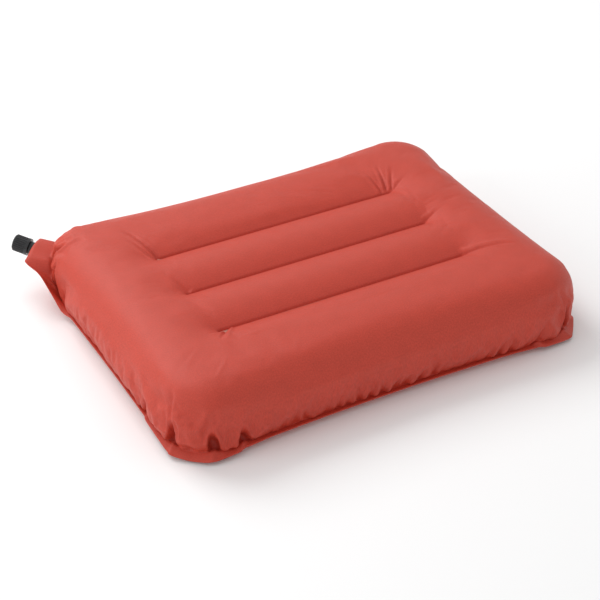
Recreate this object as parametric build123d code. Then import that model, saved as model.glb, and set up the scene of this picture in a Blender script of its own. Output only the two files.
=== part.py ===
from build123d import *
import os
from math import radians, sin, cos, tan, sqrt

os.makedirs("parts", exist_ok=True)

# Inflatable camp pillow: two welded fabric panels, three upright baffles that
# draw the air chamber into four lobes, and a twist valve in one corner tab.
# X runs along the lobes, Y across them, Z up. All sizes in mm.

# ---- the two sheets ---------------------------------------------------------
LENGTH = 450.0           # flange to flange along the lobes, at the corners
WIDTH = 352.0            # flange to flange across the lobes, at the corners
LONG_BOW = 9.0           # how far the air draws each long side in at its middle
SHORT_BOW = 3.0          # the same on each short side
CUT_R = 45.0             # cut radius of the flange corners
SHEET_T = 1.0            # coated fabric, drawn thicker than the cloth itself
SEAM_Z = 8.0             # height of the welded flange above the ground

# ---- the inflated form ------------------------------------------------------
HEIGHT = 75.0            # ground to lobe crest
OVERHANG = 2.0           # the sides bulge this far past the flange edge
BULGE_R = 60.0           # plan radius of the inflated corners
EDGE_R = 36.0            # section radius of the inflated sides

# ---- weld lines and baffles -------------------------------------------------
LINE_L = 262.0           # straight length of each weld line
LINE_PITCH = 70.0        # spacing of the weld lines
LINE_W = 8.0             # width of the weld band
TOP_GROOVE = 11.0        # depth of the top weld lines below the lobe crest
BASE_GROOVE = 6.0        # depth of the lower weld lines above the ground
GROOVE_W = 56.0          # full width of the valley between two lobes
BAFFLE_T = 1.0           # baffle web and weld feet

# ---- valve corner -----------------------------------------------------------
VALVE_TILT = 13.0        # the valve points this many degrees above level
VALVE_Z = 45.0           # height of the valve axis at the end of the tab
RAMP_ANGLE = 50.0        # slope of the flange where it climbs to the valve
RAMP_TOP = 22.0          # from the top of that climb to the end of the tab
TAB_END = 2.0            # tab end beyond the meeting point of the two sides
TAB_FRONT = 25.0         # tab width on the short-side half
TAB_BACK = 16.0          # tab width on the long-side half

# ---- valve base -------------------------------------------------------------
BOAT_L = 27.0            # weld collar along the valve axis
BOAT_W = 34.0            # full width of its lens section
BOAT_H = 13.8            # full height of its lens section
BOAT_INSET = 3.0         # collar end below the end of the tab

# ---- stem, thread and cap ---------------------------------------------------
NECK_R = 6.6             # visible neck between tab and cap
NECK_OUT = 4.0           # neck beyond the end of the tab
POST_R = 5.0             # smooth post the cap seal slides on
POST_L = 13.5            # post beyond the neck
BORE_R = 3.2             # air way
LEAD = 4.0               # cap rise in one full turn
RIDGE_H = 0.9            # height of the thread ridge
RIDGE_BASE = 2.0         # width of the ridge where it leaves the post
RIDGE_CREST = 1.0        # width of the ridge at its crest
RIDGE_L = 4.0            # thread length on the post
RIDGE_END_GAP = 1.5      # plain post above the thread
THREAD_CLEAR = 0.15      # all round clearance between the threads
CAP_R = 8.8              # outside radius of the cap
CAP_L = 17.0             # cap length
CAP_WALL = 3.0           # thickness of the end wall round the mouth
CAP_BORE_CLEAR = 0.08    # running clearance of the cap on the post
CAP_GAP = 0.4            # closed cap to neck
MOUTH_R = 3.2            # mouth of the cap
RING_L = 3.5             # smooth ring at the skirt of the cap
RING_RISE = 0.3          # how far the ring stands proud of the flutes
FLUTES = 26              # grip flutes round the cap
FLUTE_R = 0.7            # radius of one flute
CAP_CHAMFER = 1.4        # bevel at the mouth end

# ---- seals and plug ---------------------------------------------------------
SEAL_R = 0.6             # cord radius of the cap seal
SEAL_CLEAR = 0.05        # running clearance of the seal, inside and outside
SEAL_FLOAT = 0.2         # axial play of the seal in its groove
SEAL_UP = 1.0            # seal groove above the skirt edge
PLUG_R = 2.6             # head of the centre plug
PLUG_L = 2.4             # length of that head
PIN_R = 1.2              # shank of the plug
SPIDER_L = 3.0           # length of the three ribs that hold the plug
SPIDER_T = 1.2           # thickness of each rib
SPIDER_DOWN = 3.5        # ribs below the end of the post
PLUG_SEAL_R = 0.45       # cord radius of the plug seal
PLUG_CLEAR = 0.05        # plug seal to the mouth of the cap
PLUG_INSET = 0.3         # plug head below the outer face of the closed cap

# ---- worked out from the sizes above ----------------------------------------
BIG = LENGTH + WIDTH
CORNER_Q = (LENGTH + WIDTH) / 2 / sqrt(2)
TAB_Q = CORNER_Q + TAB_END
RAMP_Q = TAB_Q - RAMP_TOP
TAB_ROOT_Q = RAMP_Q - RAMP_TOP
TILT = tan(radians(VALVE_TILT))
RAMP_Z = VALVE_Z - RAMP_TOP * TILT
RAMP_START_Q = RAMP_Q - (RAMP_Z - SEAM_Z) / tan(radians(RAMP_ANGLE))
CORNER_MID = (WIDTH - LENGTH) / 4
DIAGONAL = Vector(-1, 1, 0).normalized()
ACROSS = Vector(1, 1, 0).normalized()


def outline(grow, corner):
    """Plan of a sheet whose four sides are drawn in at their middles."""
    x = LENGTH / 2 + grow
    y = WIDTH / 2 + grow
    front = ThreePointArc((-x, -y), (0, -y + LONG_BOW), (x, -y))
    right = ThreePointArc((x, -y), (x - SHORT_BOW, 0), (x, y))
    back = ThreePointArc((x, y), (0, y - LONG_BOW), (-x, y))
    left = ThreePointArc((-x, y), (-x + SHORT_BOW, 0), (-x, -y))
    face = make_face([front, right, back, left])
    return fillet(face.vertices(), corner)


def valley(depth, inset):
    """One weld line valley, root down, its mouth above the lobe crests."""
    slope = depth / (GROOVE_W / 2 - LINE_W / 2)
    half_tan = (sqrt(1 + slope ** 2) - 1) / slope
    root = LINE_W / 2 + inset * half_tan
    mouth = root + (depth + 2 * inset) / slope
    low = Pos(0, 0, HEIGHT - depth - inset) * SlotCenterToCenter(LINE_L, 2 * root)
    high = Pos(0, 0, HEIGHT + inset) * SlotCenterToCenter(LINE_L, 2 * mouth)
    return loft([low.face(), high.face()])


def air_form(inset):
    """The inflated body, drawn in by one sheet thickness for its inside."""
    tall = HEIGHT - 2 * inset
    body = extrude(outline(OVERHANG - inset, BULGE_R - inset), tall)
    rims = body.edges().group_by(Axis.Z)
    body = fillet(rims[0] + rims[-1], EDGE_R - inset)
    body = Pos(0, 0, inset) * body
    top_cut = valley(TOP_GROOVE, inset)
    base_cut = mirror(valley(BASE_GROOVE, inset), Plane.XY.offset(HEIGHT / 2))
    for row in (-1, 0, 1):
        body -= Pos(0, row * LINE_PITCH, 0) * top_cut
        body -= Pos(0, row * LINE_PITCH, 0) * base_cut
    return body


# ---- the weld surface: level all round, climbing to the valve in one corner --
section = Plane(origin=(0, 0, 0), x_dir=DIAGONAL, z_dir=ACROSS)
below_line = Polyline(
    (-BIG, -BIG),
    (BIG, -BIG),
    (BIG, VALVE_Z + (BIG - TAB_Q) * TILT),
    (RAMP_Q, RAMP_Z),
    (RAMP_START_Q, SEAM_Z),
    (-BIG, SEAM_Z),
    close=True,
)
below_seam = extrude(section * make_face(below_line), BIG, both=True)

# ---- valve axis: out of the corner along the diagonal, tilted up ------------
tab_end = Vector(0, 0, VALVE_Z) + DIAGONAL * TAB_Q + ACROSS * (CORNER_MID * sqrt(2))
axis_dir = DIAGONAL * cos(radians(VALVE_TILT)) + Vector(0, 0, sin(radians(VALVE_TILT)))
valve = Plane(origin=tab_end, x_dir=ACROSS, z_dir=axis_dir).location

# ---- flange with the valve tab ----------------------------------------------
tab_plan = Polyline(
    (TAB_ROOT_Q, -TAB_FRONT - RAMP_TOP),
    (TAB_Q, -TAB_FRONT),
    (TAB_Q, TAB_BACK),
    (TAB_ROOT_Q, TAB_BACK + RAMP_TOP),
    close=True,
)
plan_plane = Plane(
    origin=ACROSS * (CORNER_MID * sqrt(2)), x_dir=DIAGONAL, z_dir=(0, 0, -1)
)
tab_block = extrude(plan_plane * make_face(tab_plan), HEIGHT, both=True)
flange_block = extrude(outline(0, CUT_R), HEIGHT) + tab_block


def lens(grow, length):
    """Boat section of the weld collar, pointed at both sides."""
    w = BOAT_W / 2 + grow
    h = BOAT_H / 2 + grow
    upper = ThreePointArc((-w, 0), (0, h), (w, 0))
    lower = ThreePointArc((w, 0), (0, -h), (-w, 0))
    return extrude(make_face([upper, lower]), length)


# ---- panels -----------------------------------------------------------------
cavity = air_form(SHEET_T)
skin = air_form(0) - cavity
sleeve = valve * (Pos(0, 0, -BOAT_INSET - BOAT_L) * lens(SHEET_T, BOAT_L + BOAT_INSET))
pocket = valve * (Pos(0, 0, -BOAT_INSET - BOAT_L) * lens(0, BOAT_L + 2 * BOAT_INSET))
sleeve = sleeve - cavity

rim_top = flange_block & (Pos(0, 0, SHEET_T) * below_seam - below_seam)
rim_base = flange_block & (below_seam - Pos(0, 0, -SHEET_T) * below_seam)
top_panel = (skin - below_seam) + (rim_top - cavity) + (sleeve - below_seam) - pocket
bottom_panel = (skin & below_seam) + (rim_base - cavity) + (sleeve & below_seam) - pocket

# ---- baffles ----------------------------------------------------------------
roof = HEIGHT - TOP_GROOVE - SHEET_T
ground = BASE_GROOVE + SHEET_T
foot = extrude(SlotCenterToCenter(LINE_L, LINE_W), BAFFLE_T)
web = Pos(0, 0, (roof + ground) / 2) * Box(LINE_L, BAFFLE_T, roof - ground)
baffle = web + Pos(0, 0, ground) * foot + Pos(0, 0, roof - BAFFLE_T) * foot

# ---- valve pieces, drawn with the axis upright and the tab end at zero ------
cap_low = NECK_OUT + CAP_GAP
cap_high = cap_low + CAP_L
post_end = NECK_OUT + POST_L
thread_low = post_end - RIDGE_END_GAP - RIDGE_L
boat = Pos(0, 0, -BOAT_INSET - BOAT_L) * (
    lens(0, BOAT_L) - Cylinder(POST_R, BOAT_L, align=(Align.CENTER, Align.CENTER, Align.MIN))
)


def rod(radius, low, high):
    """Upright cylinder between two heights."""
    return Pos(0, 0, low) * Cylinder(
        radius, high - low, align=(Align.CENTER, Align.CENTER, Align.MIN)
    )


def helix_ridge(low, length, grow):
    """Thread ridge on the post, its phase tied to height so threads line up."""
    turn = 360.0 * low / LEAD
    path = Helix(LEAD, length, POST_R)
    root = RIDGE_BASE / 2 + grow
    crest = RIDGE_CREST / 2 + grow
    rise = RIDGE_H + grow
    start = Plane(origin=(POST_R, 0, 0), x_dir=(1, 0, 0), z_dir=(0, 1, 0))
    shape = make_face(
        Polyline((-RIDGE_H, -root), (rise, -crest), (rise, crest), (-RIDGE_H, root), close=True)
    )
    ridge = sweep(start * shape, path, is_frenet=True)
    return Pos(0, 0, low) * (Rot(0, 0, turn) * ridge)


stem = rod(POST_R, -BOAT_INSET - BOAT_L, post_end) + rod(NECK_R, -BOAT_INSET, NECK_OUT)
stem += helix_ridge(thread_low, RIDGE_L, 0)
stem -= rod(BORE_R, -BOAT_INSET - BOAT_L, post_end)

plug_high = cap_high - PLUG_INSET
plug_low = plug_high - PLUG_L
spider_low = post_end - SPIDER_DOWN
pintle = rod(PIN_R, spider_low, plug_low) + rod(PLUG_R, plug_low, plug_high)
ribs = Pos(0, 0, spider_low + SPIDER_L / 2) * Box(2 * BORE_R, SPIDER_T, SPIDER_L)
for turn in (0, 60, 120):
    pintle += (Rot(0, 0, turn) * ribs) & rod(BORE_R, spider_low, post_end)
plug_seal_major = MOUTH_R - PLUG_CLEAR - PLUG_SEAL_R
pintle_seal = Pos(0, 0, (plug_low + plug_high) / 2) * Torus(plug_seal_major, PLUG_SEAL_R)
pintle -= pintle_seal

seal_major = POST_R + SEAL_CLEAR + SEAL_R
seal_z = cap_low + SEAL_UP + SEAL_R + SEAL_FLOAT
cap_seal = Pos(0, 0, seal_z) * Torus(seal_major, SEAL_R)

cap = rod(CAP_R, cap_low, cap_high)
cap = chamfer(cap.edges().sort_by(Axis.Z)[-1], CAP_CHAMFER)
cap += rod(CAP_R + RING_RISE, cap_low, cap_low + RING_L)
flute_cut = rod(FLUTE_R, cap_low + RING_L, cap_high)
cap -= [loc * flute_cut for loc in PolarLocations(CAP_R, FLUTES)]
cap -= rod(POST_R + CAP_BORE_CLEAR, cap_low, cap_high - CAP_WALL)
cap -= rod(MOUTH_R, cap_low, cap_high)
seal_groove = SEAL_R + SEAL_FLOAT
cap -= rod(seal_major + SEAL_R + SEAL_CLEAR, seal_z - seal_groove, seal_z + seal_groove)
cap -= helix_ridge(thread_low - LEAD - THREAD_CLEAR, RIDGE_L + LEAD + 2 * THREAD_CLEAR, THREAD_CLEAR)

# ---- one frame for every piece: floor at zero, overall box centred ----------
pieces = {
    "top_panel": top_panel,
    "bottom_panel": bottom_panel,
    "front_baffle": Pos(0, -LINE_PITCH, 0) * baffle,
    "middle_baffle": baffle,
    "rear_baffle": Pos(0, LINE_PITCH, 0) * baffle,
    "valve_boat": valve * boat,
    "valve_stem": valve * stem,
    "valve_pintle": valve * pintle,
    "pintle_seal": valve * pintle_seal,
    "cap_seal": valve * cap_seal,
    "twist_cap": valve * cap,
}
solids = {name: piece.solid() for name, piece in pieces.items()}
box = Compound(list(solids.values())).bounding_box()
frame = Pos(-box.center().X, -box.center().Y, -box.min.Z)
for name, solid in solids.items():
    export_step(frame * solid, f"parts/{name}.step")
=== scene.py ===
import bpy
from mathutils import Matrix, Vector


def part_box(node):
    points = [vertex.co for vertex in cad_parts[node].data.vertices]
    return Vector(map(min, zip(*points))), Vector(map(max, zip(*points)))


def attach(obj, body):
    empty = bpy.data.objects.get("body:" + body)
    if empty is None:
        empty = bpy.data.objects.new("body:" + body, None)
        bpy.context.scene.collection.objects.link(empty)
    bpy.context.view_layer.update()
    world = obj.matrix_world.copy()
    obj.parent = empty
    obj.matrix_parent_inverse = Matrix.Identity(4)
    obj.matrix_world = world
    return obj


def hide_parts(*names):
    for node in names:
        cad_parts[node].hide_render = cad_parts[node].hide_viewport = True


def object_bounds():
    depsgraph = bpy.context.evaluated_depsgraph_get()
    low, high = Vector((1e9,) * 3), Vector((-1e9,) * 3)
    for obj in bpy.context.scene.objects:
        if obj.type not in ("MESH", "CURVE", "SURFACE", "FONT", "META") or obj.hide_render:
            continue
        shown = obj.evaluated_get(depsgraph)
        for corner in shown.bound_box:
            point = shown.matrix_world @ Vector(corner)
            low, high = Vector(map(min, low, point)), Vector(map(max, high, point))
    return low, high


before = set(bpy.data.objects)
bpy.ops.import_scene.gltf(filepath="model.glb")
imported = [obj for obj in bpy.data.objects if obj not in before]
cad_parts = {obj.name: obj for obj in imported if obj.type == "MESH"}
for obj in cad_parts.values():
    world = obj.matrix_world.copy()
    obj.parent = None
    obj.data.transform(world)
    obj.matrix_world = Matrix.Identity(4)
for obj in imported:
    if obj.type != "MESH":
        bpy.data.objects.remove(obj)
cad_box = [list(corner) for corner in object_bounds()]

from math import asin, atan2, cos, pi, radians, sin, sqrt, tan

import bmesh
import bpy
from mathutils import Vector, noise

# %% [markdown]
# An air pillow is two sheets of coated cloth welded together round the edge. Three upright webs inside
# tie the sheets along straight weld lines, so the air makes four lobes. Some sizes come from the frame:
# the webs say where the weld lines are, and the top of the whole box says how high the crest stands.

# %% sizes read from the frame
web_low, web_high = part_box("middle_baffle")
rear_low, rear_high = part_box("rear_baffle")
CENTRE = (web_low + web_high) / 2
PITCH = (rear_low.y + rear_high.y) / 2 - CENTRE.y
LINE_END = (web_high.x - web_low.x) / 2
CREST_Z = cad_box[1][2]
WELD_Z = web_high.z + 0.001
BASE_WELD_Z = web_low.z - 0.001
SEAM_Z = 0.008
print("line end", LINE_END, "pitch", PITCH)
print("upper weld", WELD_Z, "lower weld", BASE_WELD_Z)

# %% [markdown]
# The shape before the air goes in is worked out from rounded rectangles. One function gives a point on
# such a rectangle from the side it is on and how far along that side it lies, corners included, so that
# every ring of the mesh has the same number of points and the rings line up.

# %% a point on a bowed, rounded rectangle
SIDES = {"front": (0, -1), "right": (1, 0), "back": (0, 1), "left": (-1, 0)}
LONG_BOW = 0.009
SHORT_BOW = 0.003


def ring_point(side, along, half_x, half_y, radius):
    """Point on the outline: along runs from -1 to 1 over one side, half of each corner included."""
    radius = max(radius, 0.002)
    nx, ny = SIDES[side]
    near, far = (half_x, half_y) if ny else (half_y, half_x)
    straight = near - radius
    reach = straight + radius * pi / 4
    t = abs(along) * reach
    if t <= straight:
        u, v = t, far
    else:
        a = (t - straight) / radius
        u = straight + radius * sin(a)
        v = far - radius + radius * cos(a)
    u = u if along >= 0 else -u
    x, y = (u, v * ny) if ny else (v * nx, u)
    draw_y = LONG_BOW * max(0.0, 1 - (x / half_x) ** 2) * (abs(y) / half_y) ** 4
    draw_x = SHORT_BOW * max(0.0, 1 - (y / half_y) ** 2) * (abs(x) / half_x) ** 4
    return x - (draw_x if x > 0 else -draw_x), y - (draw_y if y > 0 else -draw_y)


# %% sizes of the inflated form
SECTION_R = 0.036
MID_Z = CREST_Z - SECTION_R
CUT_X, CUT_Y, CUT_CORNER = 0.225, 0.176, 0.045
BULGE_X, BULGE_Y, BULGE_CORNER = 0.227, 0.178, 0.056
LOW_INSET = 0.42
LOBE_REACH = PITCH / 2
LOBE_DEPTH = CREST_Z - WELD_Z
BASE_REACH = 0.028
TAB_Q = (CUT_X + CUT_Y) / sqrt(2) + 0.002
TAB_Z = 0.045
TAB_SLOPE = tan(radians(13))
RAMP_TOP_Q = TAB_Q - 0.022
RAMP_SLOPE = tan(radians(50))
TAB_MID = (CUT_Y - CUT_X) / sqrt(2)
TAB_FRONT = 0.025
TAB_BACK = 0.016
TAB_FLARE = 2.0
BOAT_HALF_W = 0.0195
BOAT_HALF_H = 0.0092


def corner_axes(x, y):
    """Distance along the valve corner's diagonal, and sideways from the valve."""
    return (y - x) / sqrt(2), (x + y) / sqrt(2) - TAB_MID


def seam_height(x, y):
    """The weld lies low all round and climbs to the valve in one corner."""
    q = corner_axes(x, y)[0]
    plane = TAB_Z + (q - TAB_Q) * TAB_SLOPE
    ramp = TAB_Z + (RAMP_TOP_Q - TAB_Q) * TAB_SLOPE - (RAMP_TOP_Q - q) * RAMP_SLOPE
    return max(SEAM_Z, min(plane, ramp))


def boat_bulge(x, y):
    """Half thickness of the cloth sleeve over the welded foot of the valve."""
    q, s = corner_axes(x, y)
    if q < RAMP_TOP_Q - 0.012 or abs(s) > BOAT_HALF_W:
        return 0.0
    return BOAT_HALF_H * (1 - (s / BOAT_HALF_W) ** 2)


def lobe_drop(x, y, depth, reach):
    """Depth of a lobed sheet below its crest: a crease at each weld line, rounded between them."""
    drop = 0.0
    for row in (-PITCH, 0.0, PITCH):
        past = max(abs(x) - LINE_END, 0.0)
        d = sqrt(past * past + (y - row) ** 2)
        drop = max(drop, max(0.0, 1 - d / reach) ** 2 * depth)
    return drop


def corner_share(x, y):
    """1 at the middle of a corner, 0 along the sides."""
    over_x = abs(x) - (CUT_X - CUT_CORNER)
    over_y = abs(y) - (CUT_Y - CUT_CORNER)
    if min(over_x, over_y) < -0.04:
        return 0.0
    return max(0.0, 1 - abs(over_x - over_y) / 0.085)


def wall_point(side, along, angle):
    """Point on the bulging side, where angle is measured up from level."""
    inset = SECTION_R * (1 - cos(angle))
    if angle < 0:
        inset *= LOW_INSET
    x, y = ring_point(side, along, BULGE_X - inset, BULGE_Y - inset, BULGE_CORNER - inset)
    return Vector((x, y, MID_Z + SECTION_R * sin(angle)))


def wall_angle(side, along, above):
    """Angle on the side wall at which a sheet meets the weld; above is its offset there."""
    angle = asin((SEAM_Z - MID_Z) / SECTION_R)
    for _ in range(14):
        at = wall_point(side, along, angle)
        z = seam_height(at.x, at.y) + above * boat_bulge(at.x, at.y)
        wanted = asin(max(-1.0, min(1.0, (z - MID_Z) / SECTION_R)))
        angle += (wanted - angle) * 0.5
    return angle


def cut_point(side, along):
    """Point on the cut edge of the flange, with the square tab at the valve corner."""
    x, y = ring_point(side, along, CUT_X, CUT_Y, CUT_CORNER)
    q, s = corner_axes(x, y)
    if q > 0.2:
        past = max(0.0, -TAB_FRONT - s, s - TAB_BACK)
        q = max(q, TAB_Q - TAB_FLARE * past)
    s += TAB_MID
    x, y = (s - q) / sqrt(2), (s + q) / sqrt(2)
    return Vector((x, y, seam_height(x, y)))


# %% [markdown]
# The simulated cloth starts as a grid over the lobes. Its outer edge is then extruded ring after ring:
# across the top, down the bulging side to the weld, out along the flange, round the cut edge and back
# underneath, and in again to a second grid that is the base sheet. Extruding keeps rows of faces square
# to the weld, which is the way the small gathers run.

# %% grid over the lobes
GRID_X = 150
GRID_Y = 114
INNER_X = LINE_END * 75 / 68
INNER_Y = PITCH * 57 / 38
TOP_RINGS = 6
WALL_RINGS = 24
FLANGE_RINGS = 5
BASE_RINGS = 5
BASE_IN_RINGS = 4
FLANGE_T = 0.0014

cloth = bmesh.new()
mark = cloth.verts.layers.int.new("column")
part = cloth.verts.layers.int.new("part")
flat = cloth.verts.layers.float_vector.new("flat")
along_cos = cloth.verts.layers.float.new("along_cos")
along_sin = cloth.verts.layers.float.new("along_sin")
rise = cloth.verts.layers.float.new("rise")
TOP, WALL, FLANGE, BASE, BASE_GRID = 1, 2, 3, 4, 5


def add_grid(bm, height):
    made = bmesh.ops.create_grid(bm, x_segments=GRID_X, y_segments=GRID_Y, size=1.0)["verts"]
    for vert in made:
        x, y = vert.co.x * INNER_X, vert.co.y * INNER_Y
        vert.co = Vector((x, y, height(x, y)))
    return made


def top_height(x, y):
    return CREST_Z - lobe_drop(x, y, LOBE_DEPTH, LOBE_REACH)


def base_height(x, y):
    return lobe_drop(x, y, BASE_WELD_Z, BASE_REACH)


columns = []
for vert in add_grid(cloth, top_height):
    vert[part] = TOP
    vert[mark] = -1
    fx, fy = vert.co.x / INNER_X, vert.co.y / INNER_Y
    if max(abs(fx), abs(fy)) > 0.9999:
        vert[mark] = len(columns)
        if abs(fy) > 0.9999:
            columns.append(("front" if fy < 0 else "back", fx))
        else:
            columns.append(("left" if fx < 0 else "right", fy))
print("columns round the edge", len(columns))

# %% [markdown]
# Where the outline turns, the flat sheets have far too much cloth, and it folds into a few deep pleats.
# The flange is stiff, so between two pleats it stays straight, and at each pleat it has a tuck. The
# pleats are named by their distance along the weld from the middle of their corner.

# %% positions along the weld
plain = [wall_point(*c, asin((SEAM_Z - MID_Z) / SECTION_R)) for c in columns]


def turn_order(i):
    side, along = columns[i]
    start = {"front": 0, "right": 2, "back": 4, "left": 6}[side]
    return start + (along if side in ("front", "right") else -along) + 1


order = sorted(range(len(columns)), key=turn_order)
run = {}
ROUND = 0.0
for here, there in zip(order, order[1:] + order[:1]):
    run[here] = ROUND
    ROUND += (plain[there] - plain[here]).length
print("weld length", round(ROUND, 4))

corner_run = {}
for name, sx, sy in (("front_right", 1, -1), ("back_right", 1, 1), ("valve", -1, 1), ("front_left", -1, -1)):
    nearest = max(range(len(columns)), key=lambda i: plain[i].x * sx + plain[i].y * sy)
    corner_run[name] = run[nearest]

# distance from the corner's middle, depth and height of each pleat
PLEATS = {
    "front_left": ((-0.072, 0.007, 0.030), (-0.022, 0.015, 0.036),
                   (0.020, 0.014, 0.031), (0.051, 0.010, 0.028)),
    "front_right": ((-0.048, 0.004, 0.022), (-0.014, 0.015, 0.040), (0.024, 0.013, 0.032)),
    "back_right": ((-0.030, 0.009, 0.026), (0.002, 0.010, 0.028), (0.036, 0.009, 0.024)),
    "valve": ((-0.036, 0.008, 0.026), (0.018, 0.012, 0.036), (0.036, 0.011, 0.034), (-0.012, 0.003, 0.02)),
}
pleats = sorted(((corner_run[corner] + along) % ROUND, deep, tall)
                for corner, group in PLEATS.items() for along, deep, tall in group)
PLEAT_W = 0.0070
PLEAT_TIP = 0.0006
CLUSTER = 0.052
CLUSTER_FADE = 0.004


def gap(a, b):
    """Signed distance round the weld from b to a."""
    return (a - b + ROUND / 2) % ROUND - ROUND / 2


def pleat_pull(r, up):
    """How far the side is pulled in at a place on it by the pleats near it."""
    pull = 0.0
    for at, deep, tall in pleats:
        rise = up / tall
        if rise < 1:
            width = PLEAT_W * (1 - rise) ** 0.7 + PLEAT_TIP
            pull = max(pull, deep * (1 - rise) * max(0.0, 1 - abs(gap(r, at)) / width))
    return pull


def between_pleats(r):
    """Way from one pleat to the next (0 to 1), how close the two are (0 to 1), and where both lie."""
    before = min((-gap(at, r), at) for at, _, _ in pleats if gap(at, r) <= 0)
    after = min((gap(at, r), at) for at, _, _ in pleats if gap(at, r) > 0)
    span = before[0] + after[0]
    share = max(0.0, min(1.0, (CLUSTER - span) / CLUSTER_FADE))
    t = before[0] / span
    return t, share, before[1], after[1]


def column_at(r):
    return min(range(len(columns)), key=lambda i: abs(gap(run[i], r)))


# %% the weld, its puckers and the cut edge
PUCKER = 0.0132
CUP = 0.0070
CORNER_LIFT = 0.0010
FACET = 0.85
CORNER_PUSH = 0.004
CORNER_DROOP = 0.005
puckers = round(ROUND / PUCKER)
wave = []
for i, p in enumerate(plain):
    drift = 0.6 * noise.noise(p * 22) + 0.4 * noise.noise(p * 55 + Vector((7, 3, 1)))
    size = max(0.2, 0.8 + 0.8 * noise.noise(p * 35 + Vector((1, 9, 4))))
    wave.append(sin(2 * pi * (puckers * run[i] / ROUND + drift)) * size * (1 - 0.75 * corner_share(p.x, p.y)))

low_angle, high_angle, cut, root = [], [], [], []
for i, c in enumerate(columns):
    t, share, first, last = between_pleats(run[i])
    cup = 4 * t * (1 - t)
    lift = corner_share(plain[i].x, plain[i].y) * CORNER_LIFT + share * CUP * (1 - cup)
    high_angle.append(wall_angle(*c, 1) + lift / SECTION_R)
    low_angle.append(wall_angle(*c, -1) + lift / SECTION_R)
    point = cut_point(*c)
    if share > 0 and point.z < TAB_Z - 0.02:
        chord = cut_point(*columns[column_at(first)]).lerp(cut_point(*columns[column_at(last)]), t)
        point = point.lerp(chord, share * FACET)
        point += Vector((plain[i].x, plain[i].y, 0)).normalized() * share * CORNER_PUSH
    low = 1 - min(1.0, (point.z - SEAM_Z) / 0.01)
    point.z -= low * corner_share(point.x, point.y) * CORNER_DROOP
    cut.append(point)
    root.append(wall_point(*c, high_angle[i]))
print("puckers round the weld", puckers, "pleats", len(pleats))


# %% rings from the lobes to the weld, the flange and the base
def next_ring(edges, place, name):
    """Extrudes a closed loop of edges once and puts each new point where place says."""
    made = bmesh.ops.extrude_edge_only(cloth, edges=edges)["geom"]
    for item in made:
        if isinstance(item, bmesh.types.BMVert):
            item.co = place(item[mark])
            item[part] = name
    return [item for item in made if isinstance(item, bmesh.types.BMEdge) and item.is_boundary]


def grid_edge(i):
    side, along = columns[i]
    nx, ny = SIDES[side]
    return Vector((along * INNER_X, ny * INNER_Y)) if ny else Vector((nx * INNER_X, along * INNER_Y))


def outward(i):
    """Level direction square to the weld, away from the pillow."""
    before, after = order[order.index(i) - 1], order[(order.index(i) + 1) % len(order)]
    d = (plain[after] - plain[before]).xy.normalized()
    return Vector((d.y, -d.x, 0))


out_dir = [outward(i) for i in range(len(columns))]


def top_place(step):
    def place(i):
        x, y = grid_edge(i).lerp(wall_point(*columns[i], pi / 2).xy, step)
        return Vector((x, y, top_height(x, y)))
    return place


PUCKER_DEPTH = 0.0026
PUCKER_REACH = 0.024


def wall_place(step):
    def place(i):
        p = wall_point(*columns[i], pi / 2 + (high_angle[i] - pi / 2) * step)
        up = (p - root[i]).length
        near = max(0.0, 1 - up / PUCKER_REACH)
        ripple = PUCKER_DEPTH * wave[i] * near ** 1.5 * min(1.0, up / 0.003 + 0.3)
        return p + out_dir[i] * (ripple - pleat_pull(run[i], up) * min(1.0, up / 0.003 + 0.25))
    return place


def flange_place(step, face):
    def place(i):
        inner = wall_point(*columns[i], high_angle[i] if face > 0 else low_angle[i])
        mid = wall_point(*columns[i], (high_angle[i] + low_angle[i]) / 2)
        p = mid.lerp(cut[i], step)
        thick = FLANGE_T / 2 + boat_bulge(p.x, p.y) * (1 - 0.12 * step)
        p.z += face * (thick if step > 0 else abs(inner.z - mid.z))
        tuck = max(0.0, 1 - min(abs(gap(run[i], at)) for at, _, _ in pleats) / 0.004)
        p -= out_dir[i] * pleat_pull(run[i], 0) * 0.25 * (1 - step)
        return p + Vector((0, 0, 0.0016 * tuck * (1 - 0.4 * step)))
    return place


def base_place(step):
    def place(i):
        p = wall_point(*columns[i], low_angle[i] + (-pi / 2 - low_angle[i]) * step)
        p.z -= step * (MID_Z - SECTION_R)
        near = 1 - step
        return p + out_dir[i] * (PUCKER_DEPTH * 0.5 * wave[i] * near)
    return place


def base_in_place(step):
    def place(i):
        x, y = wall_point(*columns[i], -pi / 2).xy.lerp(grid_edge(i), step)
        return Vector((x, y, base_height(x, y)))
    return place


loop = [e for e in cloth.edges if e.is_boundary]
for i in range(1, TOP_RINGS + 1):
    loop = next_ring(loop, top_place(i / TOP_RINGS), TOP)
for i in range(1, WALL_RINGS + 1):
    loop = next_ring(loop, wall_place(i / WALL_RINGS), WALL)
for i in range(1, FLANGE_RINGS + 1):
    loop = next_ring(loop, flange_place(i / FLANGE_RINGS, 1), FLANGE)
for i in range(FLANGE_RINGS, -1, -1):
    loop = next_ring(loop, flange_place(i / FLANGE_RINGS, -1), FLANGE)
for i in range(1, BASE_RINGS + 1):
    loop = next_ring(loop, base_place(i / BASE_RINGS), BASE)
for i in range(1, BASE_IN_RINGS + 1):
    loop = next_ring(loop, base_in_place(i / BASE_IN_RINGS), BASE_GRID)
bmesh.ops.recalc_face_normals(cloth, faces=cloth.faces)
print("cloth points", len(cloth.verts), "faces", len(cloth.faces))

# %% [markdown]
# A welded seam shortens when the air goes in, because a flat sheet has too much cloth for the rounded
# side. The spare cloth gathers into small puckers square to the weld, and more of it is spare round the
# corners. The solver is given that spare length. It holds still what is welded and the bottoms of the
# pleats, and it holds the top lightly near its height, which keeps the low profile.

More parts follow.
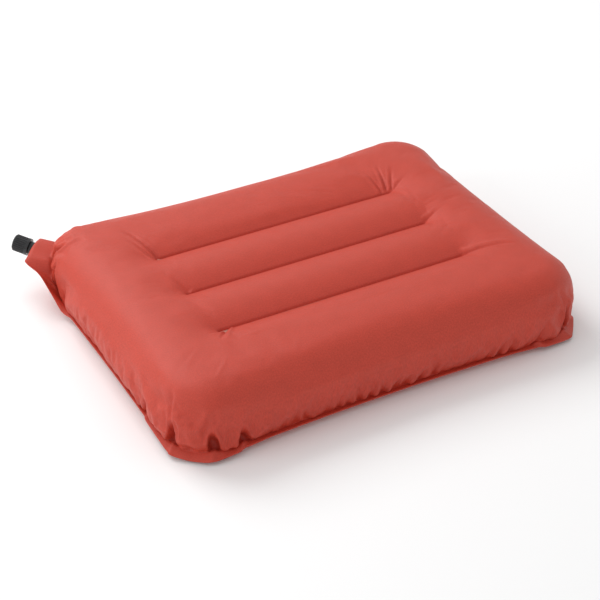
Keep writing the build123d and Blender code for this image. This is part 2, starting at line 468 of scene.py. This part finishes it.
# %% what is held and where cloth is spare
SPARE_REACH = 0.040
SPARE_TOP = 0.0
HOLD_TOP = 0.10
cloth.verts.index_update()
hold, spare = {}, {}
for v in cloth.verts:
    i, name = v[mark], v[part]
    v[flat] = Vector((v.co.x, v.co.y, 0))
    v[rise] = 1.0
    if i >= 0:
        v[along_cos] = cos(2 * pi * run[i] / ROUND)
        v[along_sin] = sin(2 * pi * run[i] / ROUND)
    if name in (WALL, FLANGE):
        beyond = out_dir[i] * (v.co - wall_point(*columns[i], pi / 2)).length
        v[flat] = Vector((v.co.x, v.co.y, 0)) * 0.5 + (wall_point(*columns[i], pi / 2) + beyond) * 0.5
        v[rise] = (v.co - root[i]).length * (1 if name == WALL else -1)
    hold[v.index] = HOLD_TOP
    spare[v.index] = SPARE_TOP
    if name in (WALL, BASE):
        away = (v.co - root[i]).length
        near = max(0.0, 1 - away / SPARE_REACH)
        spare[v.index] = max(SPARE_TOP, near ** 0.7 * (0.55 + 0.45 * corner_share(root[i].x, root[i].y)))
        at_weld = name == WALL and away < 0.0032 and (v.co.z < root[i].z + 0.0005)
        pulled = pleat_pull(run[i], away) if name == WALL else 0.0
        hold[v.index] = 1.0 if at_weld or pulled > 0.0015 else HOLD_TOP * (1 - 0.5 * near)
    elif name == FLANGE:
        hold[v.index] = 1.0
    elif name == BASE_GRID:
        hold[v.index] = 0.7
    else:
        on_line = min(abs(v.co.y - row) for row in (-PITCH, 0.0, PITCH)) < 0.0004
        hold[v.index] = 1.0 if on_line and abs(v.co.x) < LINE_END + 0.0005 else HOLD_TOP
    v.co += Vector((CENTRE.x, CENTRE.y, 0))

mesh = bpy.data.meshes.new("air_cover")
cloth.to_mesh(mesh)
cover = bpy.data.objects.new("air_cover", mesh)
bpy.context.scene.collection.objects.link(cover)


def weights(obj, name, table):
    group = obj.vertex_groups.new(name=name)
    steps = {}
    for index, value in table.items():
        steps.setdefault(round(value, 2), []).append(index)
    for value, members in steps.items():
        group.add(members, value, "REPLACE")


weights(cover, "hold", hold)
weights(cover, "taut", {index: 1 - value for index, value in spare.items()})

# %% the air goes in
SIM_FRAMES = 14
FURTHEST = 0.012
rest = [v.co.copy() for v in mesh.vertices]
air = cover.modifiers.new("air", "CLOTH")
settings = air.settings
settings.quality = 5
settings.mass = 0.3
settings.tension_stiffness = 30
settings.compression_stiffness = 30
settings.shear_stiffness = 12
settings.bending_stiffness = 0.1
settings.tension_damping = 12
settings.compression_damping = 12
settings.shear_damping = 8
settings.bending_damping = 0.5
settings.air_damping = 4
settings.use_pressure = True
settings.uniform_pressure_force = 3.0
settings.vertex_group_mass = "hold"
settings.pin_stiffness = 1.0
settings.vertex_group_shrink = "taut"
settings.shrink_min = -0.18
settings.shrink_max = 0.0
settings.effector_weights.gravity = 0
air.collision_settings.use_self_collision = False
air.collision_settings.use_collision = False
air.point_cache.frame_start = 1
air.point_cache.frame_end = SIM_FRAMES
bpy.context.scene.frame_start = 1
bpy.context.scene.frame_end = SIM_FRAMES
for number in range(1, SIM_FRAMES + 1):
    bpy.context.scene.frame_set(number)
moved = cover.evaluated_get(bpy.context.evaluated_depsgraph_get()).to_mesh()
blown = [v.co.copy() for v in moved.vertices]
cover.modifiers.remove(air)
far = 0.0
for vert, start, end in zip(mesh.vertices, rest, blown):
    step = end - start
    far = max(far, step.length)
    if step.length > FURTHEST:
        step = step * (FURTHEST / step.length)
    vert.co = start + step
print("furthest point moved", round(far, 4))

# %% [markdown]
# The base sheet lies on the ground, so it needs no simulation: its grid is added now and merged to the
# last ring. One level of subdivision then gives points close enough together for sharp creases.

# %% base sheet and one subdivision
whole = bmesh.new()
whole.from_mesh(mesh)
base_grid = bmesh.new()
add_grid(base_grid, base_height)
bmesh.ops.translate(base_grid, verts=base_grid.verts, vec=(CENTRE.x, CENTRE.y, 0))
bmesh.ops.reverse_faces(base_grid, faces=base_grid.faces)
base_mesh = bpy.data.meshes.new("base_sheet")
base_grid.to_mesh(base_mesh)
whole.from_mesh(base_mesh)
flat = whole.verts.layers.float_vector["flat"]
rise = whole.verts.layers.float["rise"]
whole.verts.index_update()
for v in list(whole.verts)[len(mesh.vertices):]:
    v[flat] = v.co - Vector((CENTRE.x, CENTRE.y, 0))
    v[rise] = 1.0
edge = [v for v in whole.verts if v.is_boundary]
bmesh.ops.remove_doubles(whole, verts=edge, dist=0.0003)
print("open edges left", sum(e.is_boundary for e in whole.edges))
whole.to_mesh(mesh)
smooth = cover.modifiers.new("smooth", "SUBSURF")
smooth.levels = smooth.render_levels = 1
fine = bpy.data.meshes.new_from_object(cover.evaluated_get(bpy.context.evaluated_depsgraph_get()))
cover.modifiers.clear()
cover.data = fine
fine.name = "air_cover"
print("fine points", len(fine.vertices))

# %% [markdown]
# The weld lines are thinner than the solver's mesh can show, and the pleats and tucks sharper. They are
# pressed in now, point by point: a narrow crease on each line, folds that run out from the ends of the
# lines, a sharp bottom to each pleat and fine ripples square to the weld. Last, what would sink into the
# ground is laid flat on it.

# %% creases, folds and ripples
# each fold runs from its first point to its second, in metres from the middle of the pillow
FOLDS = (
    (-0.132, 0.068, -0.150, 0.124, 0.0026, 0.0030),
    (-0.137, 0.066, -0.153, 0.108, 0.0018, 0.0024),
    (-0.128, -0.071, -0.146, -0.096, 0.0030, 0.0028),
    (-0.130, -0.070, -0.152, -0.080, 0.0012, 0.0022),
    (-0.131, 0.002, -0.141, 0.026, 0.0016, 0.0050),
    (0.136, -0.070, 0.188, -0.091, 0.0022, 0.0028),
    (0.136, 0.001, 0.160, 0.006, 0.0012, 0.0024),
    (0.128, 0.073, 0.124, 0.106, 0.0014, 0.0020),
    (0.134, 0.074, 0.142, 0.110, 0.0018, 0.0020),
    (0.139, 0.072, 0.156, 0.104, 0.0014, 0.0020),
    (0.137, 0.069, 0.160, 0.078, 0.0012, 0.0024),
)
FOLD_GAIN = 1.4
CREASE_DEPTH = 0.0024
CREASE_W = 0.0010
RIPPLE_REACH = 0.034
FINE_RIPPLE = 0.00055
FINE_PITCH = 0.0061
FLOOR_GAP = 0.0002


def fold_press(x, y):
    """How far the folds press the top down at a place, less the small ridge beside each."""
    press = 0.0
    for x0, y0, x1, y1, deep, width in FOLDS:
        dx, dy = x1 - x0, y1 - y0
        size = sqrt(dx * dx + dy * dy)
        t = ((x - x0) * dx + (y - y0) * dy) / size ** 2
        if -0.05 < t < 1:
            side = ((x - x0) * dy - (y - y0) * dx) / size
            taper = min(1.0, (t + 0.05) / 0.12) * (1 - t)
            groove = max(0.0, 1 - abs(side) / width)
            ridge = max(0.0, 1 - abs(side + 1.9 * width) / (1.5 * width))
            press += FOLD_GAIN * deep * taper * (groove ** 1.3 - 0.55 * ridge ** 1.5)
    return press


flat_of = fine.attributes["flat"].data
rise_of = fine.attributes["rise"].data
cos_of = fine.attributes["along_cos"].data
sin_of = fine.attributes["along_sin"].data
normals = [v.normal.copy() for v in fine.vertices]
for index, v in enumerate(fine.vertices):
    x, y = v.co.x - CENTRE.x, v.co.y - CENTRE.y
    up = rise_of[index].value
    if up > 0.99:
        if v.co.z > MID_Z:
            inside = max(0.0, min(1.0, (LINE_END + 0.003 - abs(x)) / 0.004))
            near = min(abs(y - row) for row in (-PITCH, 0.0, PITCH))
            crease = CREASE_DEPTH * inside * max(0.0, 1 - near / CREASE_W / 2)
            v.co.z -= crease + fold_press(x, y)
        continue
    r = (atan2(sin_of[index].value, cos_of[index].value) / (2 * pi) % 1) * ROUND
    if up > 0.0005:
        fade = max(0.0, 1 - up / RIPPLE_REACH)
        drift = noise.noise(Vector((x * 14, y * 14, 3)))
        patch = max(0.0, noise.noise(Vector((x * 40, y * 40, 5))) + 0.35)
        narrow = sin(2 * pi * (r / FINE_PITCH + 1.3 * drift)) * patch
        broad = sin(2 * pi * (puckers * r / ROUND + 0.8 * drift))
        deep = 0.4 * pleat_pull(r, up)
        lift = FINE_RIPPLE * (1.1 * narrow * fade ** 0.7 + 1.4 * broad * fade ** 1.5)
        v.co += normals[index] * (lift * min(1.0, up / 0.004) - deep)
        v.co.z -= fold_press(x, y) if v.co.z > MID_Z + 0.02 else 0.0

for v in fine.vertices:
    v.co.z = max(v.co.z, FLOOR_GAP)

uv = fine.uv_layers.new(name="cloth")
for corner in fine.loops:
    place = flat_of[corner.vertex_index].vector
    uv.data[corner.index].uv = (place.x, place.y)
fine.polygons.foreach_set("use_smooth", [True] * len(fine.polygons))
fine.update()
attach(cover, "pillow")
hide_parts("top_panel", "bottom_panel")

# %% [markdown]
# The cover is a light polyester, woven so finely that it shows only as a faint grain, with a satin sheen.
# The weave is a node group, because the webs inside are cut from the same kind of cloth. It reads the
# piece's own UV map, which was laid out flat on the sheet before the air went in, so the threads follow
# the cloth round the sides.

# %% shader helpers
def new_group(name, inputs, outputs):
    """An empty node group with float inputs and the named outputs."""
    tree = bpy.data.node_groups.new(name, "ShaderNodeTree")
    for label, kind, value in inputs:
        socket = tree.interface.new_socket(label, in_out="INPUT", socket_type=kind)
        if value is not None:
            socket.default_value = value
    for label, kind in outputs:
        tree.interface.new_socket(label, in_out="OUTPUT", socket_type=kind)
    return tree, tree.nodes.new("NodeGroupInput"), tree.nodes.new("NodeGroupOutput")


def add(tree, kind, **settings):
    node = tree.nodes.new(kind)
    for key, value in settings.items():
        setattr(node, key, value)
    return node


def math_node(tree, operation, first, second):
    node = add(tree, "ShaderNodeMath", operation=operation)
    for socket, value in zip(node.inputs, (first, second)):
        if isinstance(value, (int, float)):
            socket.default_value = value
        else:
            tree.links.new(value, socket)
    return node.outputs[0]


def noise_node(tree, vector, scale, detail=2.0, rough=0.5):
    node = add(tree, "ShaderNodeTexNoise")
    node.inputs["Scale"].default_value = scale
    node.inputs["Detail"].default_value = detail
    node.inputs["Roughness"].default_value = rough
    tree.links.new(vector, node.inputs["Vector"])
    return node.outputs["Fac"]


# %% weave group
weave, weave_in, weave_out = new_group(
    "plain_weave",
    [("Vector", "NodeSocketVector", None), ("Threads", "NodeSocketFloat", 1800.0)],
    [("Height", "NodeSocketFloat"), ("Slub", "NodeSocketFloat")],
)
split = add(weave, "ShaderNodeSeparateXYZ")
weave.links.new(weave_in.outputs["Vector"], split.inputs[0])
threads = []
for axis in ("X", "Y"):
    turns = math_node(weave, "MULTIPLY", split.outputs[axis], weave_in.outputs["Threads"])
    threads.append(math_node(weave, "SINE", turns, 0.0))
crossing = math_node(weave, "MULTIPLY", threads[0], threads[1])
slub = noise_node(weave, weave_in.outputs["Vector"], 760.0, 3.0, 0.75)
cloudy = noise_node(weave, weave_in.outputs["Vector"], 70.0, 2.0, 0.5)
grain = math_node(weave, "ADD", math_node(weave, "MULTIPLY", crossing, 0.35), slub)
weave.links.new(grain, weave_out.inputs["Height"])
fine_part = math_node(weave, "MULTIPLY", slub, 0.85)
cloudy_part = math_node(weave, "MULTIPLY", cloudy, 0.15)
mixed = math_node(weave, "ADD", fine_part, cloudy_part)
weave.links.new(mixed, weave_out.inputs["Slub"])
print("weave nodes", len(weave.nodes))


# %% [markdown]
# Moulded plastic and rubber share a second group: a fine grain from the mould, and a little dust and
# handling wear that varies the gloss.

# %% moulded grain group
grainy, grainy_in, grainy_out = new_group(
    "moulded_grain",
    [("Vector", "NodeSocketVector", None), ("Grain", "NodeSocketFloat", 2500.0)],
    [("Height", "NodeSocketFloat"), ("Wear", "NodeSocketFloat")],
)
pores = add(grainy, "ShaderNodeTexNoise")
grainy.links.new(grainy_in.outputs["Vector"], pores.inputs["Vector"])
grainy.links.new(grainy_in.outputs["Grain"], pores.inputs["Scale"])
grainy.links.new(pores.outputs["Fac"], grainy_out.inputs["Height"])
grainy.links.new(noise_node(grainy, grainy_in.outputs["Vector"], 260.0, 4.0, 0.6), grainy_out.inputs["Wear"])


def ramp_color(tree, value, low, high, from_low=0.3, from_high=0.7):
    """Mixes two colours by a value."""
    node = add(tree, "ShaderNodeValToRGB")
    node.color_ramp.elements[0].position = from_low
    node.color_ramp.elements[0].color = (*low, 1)
    node.color_ramp.elements[1].position = from_high
    node.color_ramp.elements[1].color = (*high, 1)
    tree.links.new(value, node.inputs["Fac"])
    return node.outputs["Color"]


def bump(tree, shader, height, strength, distance):
    node = add(tree, "ShaderNodeBump")
    node.inputs["Strength"].default_value = strength
    node.inputs["Distance"].default_value = distance
    tree.links.new(height, node.inputs["Height"])
    tree.links.new(node.outputs["Normal"], shader.inputs["Normal"])


def cloth_material(name, low, high, vector_output, roughness, sheen, threads_per_turn):
    """Woven coated cloth. vector_output is UV or Object."""
    made = bpy.data.materials.new(name)
    made.use_nodes = True
    tree = made.node_tree
    shader = tree.nodes["Principled BSDF"]
    place = add(tree, "ShaderNodeTexCoord")
    group = add(tree, "ShaderNodeGroup", node_tree=weave)
    group.inputs["Threads"].default_value = threads_per_turn
    tree.links.new(place.outputs[vector_output], group.inputs["Vector"])
    tree.links.new(ramp_color(tree, group.outputs["Slub"], low, high), shader.inputs["Base Color"])
    bump(tree, shader, group.outputs["Height"], 0.6, 0.0003)
    shader.inputs["Roughness"].default_value = roughness
    shader.inputs["Specular IOR Level"].default_value = 0.4
    shader.inputs["Sheen Weight"].default_value = sheen
    shader.inputs["Sheen Roughness"].default_value = 0.4
    shader.inputs["Sheen Tint"].default_value = (1.0, 0.62, 0.52, 1)
    return made


def moulded_material(name, low, high, rough_low, rough_high, grain_scale):
    """Moulded plastic or rubber with a fine grain."""
    made = bpy.data.materials.new(name)
    made.use_nodes = True
    tree = made.node_tree
    shader = tree.nodes["Principled BSDF"]
    place = add(tree, "ShaderNodeTexCoord")
    group = add(tree, "ShaderNodeGroup", node_tree=grainy)
    group.inputs["Grain"].default_value = grain_scale
    tree.links.new(place.outputs["Object"], group.inputs["Vector"])
    tree.links.new(ramp_color(tree, group.outputs["Wear"], low, high), shader.inputs["Base Color"])
    spread = math_node(tree, "MULTIPLY", group.outputs["Wear"], rough_high - rough_low)
    tree.links.new(math_node(tree, "ADD", spread, rough_low), shader.inputs["Roughness"])
    bump(tree, shader, group.outputs["Height"], 0.25, 0.00006)
    return made


# %% finishes
coral = cloth_material("coral_polyester", (0.40, 0.033, 0.015), (0.60, 0.055, 0.029), "UV", 0.5, 0.05, 5200.0)
web_cloth = cloth_material(
    "web_polyester", (0.42, 0.16, 0.12), (0.52, 0.22, 0.17), "Object", 0.6, 0.1, 5200.0)
collar_plastic = moulded_material(
    "collar_plastic", (0.016, 0.016, 0.017), (0.03, 0.03, 0.031), 0.4, 0.62, 1800.0)
stem_plastic = moulded_material(
    "stem_plastic", (0.012, 0.012, 0.013), (0.024, 0.024, 0.025), 0.3, 0.5, 2500.0)
rubber = moulded_material("soft_rubber", (0.02, 0.02, 0.02), (0.035, 0.034, 0.033), 0.6, 0.85, 3200.0)
fine.materials.append(coral)

# %% [markdown]
# The cap is one moulding with two finishes: the fluted grip is matt, and the smooth ring at its skirt is
# polished. The ring is found by its distance along the valve's axis, which turning the cap can't change.

# %% cap finish
TAB_END = Vector((-0.2157385, 0.1654668, 0.045))
AXIS = Vector((-0.6889837, 0.6889837, 0.2249511))
RING_TOP = 0.0079
cap_plastic = moulded_material(
    "cap_plastic", (0.010, 0.010, 0.011), (0.022, 0.022, 0.024), 0.36, 0.58, 2600.0)
tree = cap_plastic.node_tree
shader = tree.nodes["Principled BSDF"]
place = add(tree, "ShaderNodeTexCoord")
away = add(tree, "ShaderNodeVectorMath", operation="SUBTRACT")
away.inputs[1].default_value = TAB_END
tree.links.new(place.outputs["Object"], away.inputs[0])
height = add(tree, "ShaderNodeVectorMath", operation="DOT_PRODUCT")
height.inputs[1].default_value = AXIS
tree.links.new(away.outputs[0], height.inputs[0])
ring = math_node(tree, "LESS_THAN", height.outputs["Value"], RING_TOP)
grip_gloss = shader.inputs["Roughness"].links[0].from_socket
tree.links.new(math_node(tree, "SUBTRACT", grip_gloss, math_node(tree, "MULTIPLY", ring, 0.22)),
               shader.inputs["Roughness"])

FINISHES = {
    "front_baffle": web_cloth, "middle_baffle": web_cloth, "rear_baffle": web_cloth,
    "valve_boat": collar_plastic, "valve_stem": stem_plastic, "valve_pintle": stem_plastic,
    "pintle_seal": rubber, "cap_seal": rubber, "twist_cap": cap_plastic,
}
for name, finish in FINISHES.items():
    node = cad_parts[name]
    node.data.materials.clear()
    node.data.materials.append(finish)
print("finished nodes", len(FINISHES))

# %% [markdown]
# The studio is plain: a pale floor, an even white surround, one large soft lamp behind and above, which
# grazes the lobes, and a weaker one from the left. The front face stays in soft shade.

# %% floor and lights
floor_bm = bmesh.new()
bmesh.ops.create_grid(floor_bm, x_segments=1, y_segments=1, size=6.0)
floor_mesh = bpy.data.meshes.new("floor")
floor_bm.to_mesh(floor_mesh)
floor_obj = bpy.data.objects.new("floor", floor_mesh)
bpy.context.scene.collection.objects.link(floor_obj)
pale = bpy.data.materials.new("pale_floor")
pale.use_nodes = True
pale_shader = pale.node_tree.nodes["Principled BSDF"]
pale_shader.inputs["Base Color"].default_value = (0.93, 0.93, 0.93, 1)
pale_shader.inputs["Roughness"].default_value = 0.9
pale_shader.inputs["Specular IOR Level"].default_value = 0.1
floor_mesh.materials.append(pale)
world = bpy.data.worlds.new("studio")
world.use_nodes = True
world.node_tree.nodes["Background"].inputs["Color"].default_value = (1, 1, 1, 1)
world.node_tree.nodes["Background"].inputs["Strength"].default_value = 0.72
bpy.context.scene.world = world


def soft_light(name, place, aim, size, power):
    lamp = bpy.data.lights.new(name, "AREA")
    lamp.shape = "SQUARE"
    lamp.size = size
    lamp.energy = power
    obj = bpy.data.objects.new(name, lamp)
    bpy.context.scene.collection.objects.link(obj)
    obj.location = place
    obj.rotation_euler = (Vector(aim) - Vector(place)).to_track_quat("-Z", "Y").to_euler()
    return obj


soft_light("back_top", (-0.5, 1.4, 1.5), (0, 0, 0.03), 1.2, 25)
soft_light("left_side", (-1.9, 0.2, 0.9), (0, 0, 0.03), 1.1, 9)

# %% [markdown]
# The camera stands where the weld lines and the outline have the right perspective: about two metres
# away, low enough to see the front side, with a lens long enough to keep the far edge wide.

# %% camera
camera_data = bpy.data.cameras.new("camera")
camera = bpy.data.objects.new("camera", camera_data)
bpy.context.scene.collection.objects.link(camera)
camera.location = (-0.6732, -1.2595, 0.9916)
aim_at = Vector((0.0107, -0.0119, 0.008))
camera.rotation_euler = (aim_at - camera.location).to_track_quat("-Z", "Y").to_euler()
camera_data.sensor_width = 36
camera_data.lens = 101.9
camera_data.shift_x = -0.016
camera_data.shift_y = 0.007
bpy.context.scene.camera = camera
bpy.context.scene.view_settings.view_transform = "Standard"
